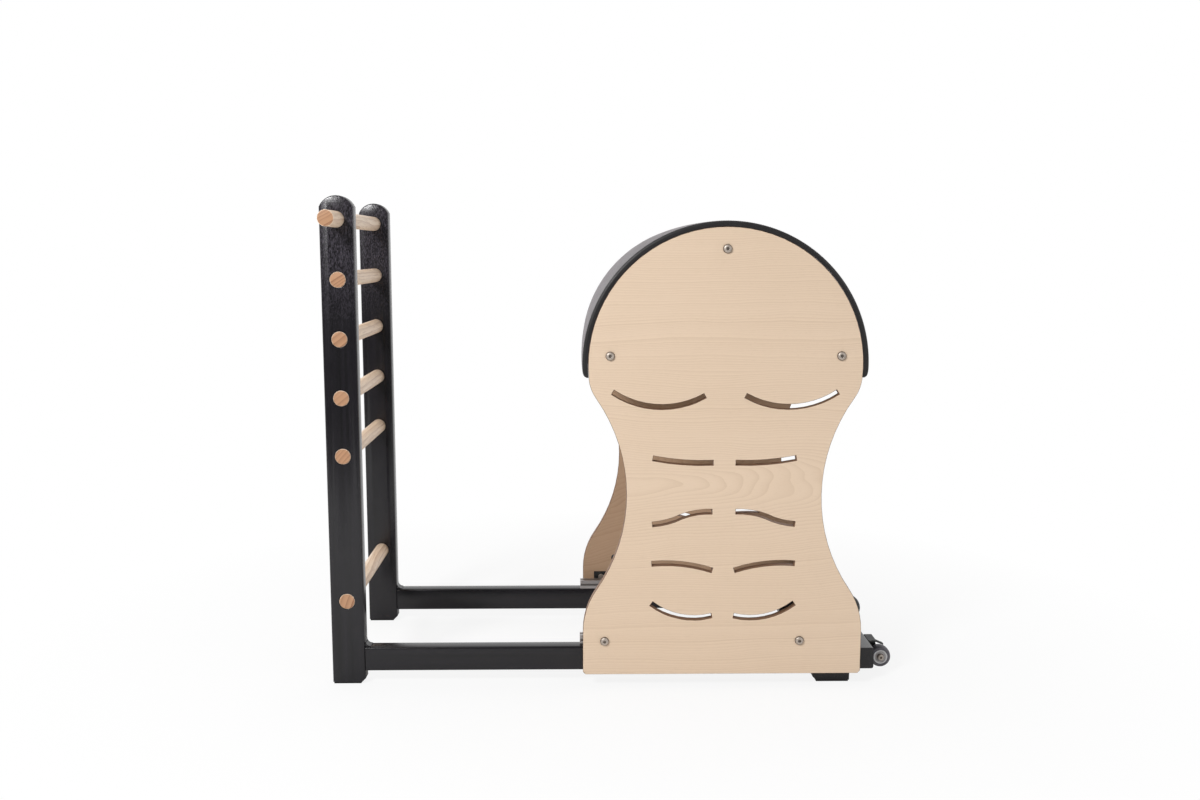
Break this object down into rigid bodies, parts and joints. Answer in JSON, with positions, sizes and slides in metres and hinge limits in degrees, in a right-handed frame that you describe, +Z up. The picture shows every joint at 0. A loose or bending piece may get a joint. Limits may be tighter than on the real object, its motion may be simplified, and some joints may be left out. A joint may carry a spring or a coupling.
{
  "type": "pilates ladder barrel",
  "caption": "Padded half barrel between waisted slotted side panels, sliding on floor rails in front of an upright ladder with dowel rungs, with lock knobs and rear transport wheels.",
  "frame": {"origin": "on the floor under the middle of the overall length and width", "axes": "+X from the ladder to the barrel and the wheels, +Y across to the far side, +Z up"},
  "size_m": [1.1736, 0.6308, 1],
  "materials": {
    "black_wood": "satin black painted, open grain",
    "maple_panel": "satin clear-coated maple veneer",
    "dowel": "sanded, lightly oiled beech",
    "raw_wood": "raw plywood",
    "pad_vinyl": "black upholstery vinyl, fine grain",
    "pad_foam": "open-cell foam",
    "runner_aluminium": "anodised",
    "bolt_steel": "zinc plated",
    "black_metal": "textured black powder coat",
    "black_plastic": "moulded black nylon",
    "foot_rubber": "matte",
    "wheel_tyre": "smooth grey-black rubber",
    "wheel_hub": "grey moulded hub with a bright rim"
  },
  "bodies": {
    "frame": {"upright_near": "black_wood", "upright_far": "black_wood", "front_foot_pad_near": "foot_rubber", "front_foot_pad_far": "foot_rubber", "rung_1": "dowel", "rung_2": "dowel", "rung_3": "dowel", "rung_4": "dowel", "rung_5": "dowel", "rung_6": "dowel", "rail_near": "black_wood", "rail_far": "black_wood", "rear_crossbar": "black_wood", "rear_foot_near": "black_wood", "rear_foot_far": "black_wood", "rear_foot_pad_near": "foot_rubber", "rear_foot_pad_far": "foot_rubber", "rear_stop_near": "foot_rubber", "rear_stop_far": "foot_rubber", "wheel_bracket_near": "black_metal", "wheel_bracket_far": "black_metal", "axle_bolt_near": "bolt_steel", "axle_bolt_far": "bolt_steel"},
    "carriage": {"side_panel_near": "maple_panel", "side_panel_far": "maple_panel", "barrel_shell": "raw_wood", "batten_top": "raw_wood", "batten_front": "raw_wood", "batten_rear": "raw_wood", "pad_foam": "pad_foam", "pad_cover": "pad_vinyl", "batten_bolt_top_near": "bolt_steel", "batten_bolt_top_far": "bolt_steel", "batten_bolt_front_near": "bolt_steel", "batten_bolt_front_far": "bolt_steel", "batten_bolt_rear_near": "bolt_steel", "batten_bolt_rear_far": "bolt_steel", "bracket_bolt_front_near": "bolt_steel", "bracket_bolt_front_far": "bolt_steel", "bracket_bolt_rear_near": "bolt_steel", "bracket_bolt_rear_far": "bolt_steel", "bracket_front_near": "black_plastic", "bracket_front_far": "black_plastic", "bracket_rear_near": "black_plastic", "bracket_rear_far": "black_plastic", "runner_near": "runner_aluminium", "runner_far": "runner_aluminium", "lock_bush_near": "bolt_steel", "lock_bush_far": "bolt_steel"},
    "lock_shoe_near": {"lock_shoe_near": "foot_rubber"},
    "lock_shoe_far": {"lock_shoe_far": "foot_rubber"},
    "lock_knob_near": {"lock_stud_near": "bolt_steel", "lock_knob_near": "black_plastic"},
    "lock_knob_far": {"lock_stud_far": "bolt_steel", "lock_knob_far": "black_plastic"},
    "wheel_near": {"tyre_near": "wheel_tyre", "wheel_hub_near": "wheel_hub"},
    "wheel_far": {"tyre_far": "wheel_tyre", "wheel_hub_far": "wheel_hub"}
  },
  "joints": [
    {"name": "barrel_slide", "type": "slide", "parent": "frame", "child": "carriage", "axis": [1, 0, 0], "range_m": [-0.42, 0]},
    {"name": "lock_lift_near", "type": "slide", "parent": "carriage", "child": "lock_shoe_near", "axis": [0, 0, 1], "range_m": [0, 0.0025]},
    {"name": "lock_turn_near", "type": "hinge", "parent": "lock_shoe_near", "child": "lock_knob_near", "pos_m": [0.48315, -0.1988, 0.153], "axis": [0, 0, 1], "range_deg": [0, 720]},
    {"name": "lock_lift_far", "type": "slide", "parent": "carriage", "child": "lock_shoe_far", "axis": [0, 0, 1], "range_m": [0, 0.0025]},
    {"name": "lock_turn_far", "type": "hinge", "parent": "lock_shoe_far", "child": "lock_knob_far", "pos_m": [0.48315, 0.1988, 0.153], "axis": [0, 0, 1], "range_deg": [0, 720]},
    {"name": "wheel_turn_near", "type": "hinge", "parent": "frame", "child": "wheel_near", "pos_m": [0.56435, -0.1599, 0.0346], "axis": [0, 1, 0], "continuous": true},
    {"name": "wheel_turn_far", "type": "hinge", "parent": "frame", "child": "wheel_far", "pos_m": [0.56435, 0.1599, 0.0346], "axis": [0, 1, 0], "continuous": true}
  ],
  "couplings": [
    {"joint": "lock_turn_near", "follows": "lock_lift_near", "rad_per_m": 5026.5},
    {"joint": "lock_turn_far", "follows": "lock_lift_far", "rad_per_m": 5026.5}
  ]
}
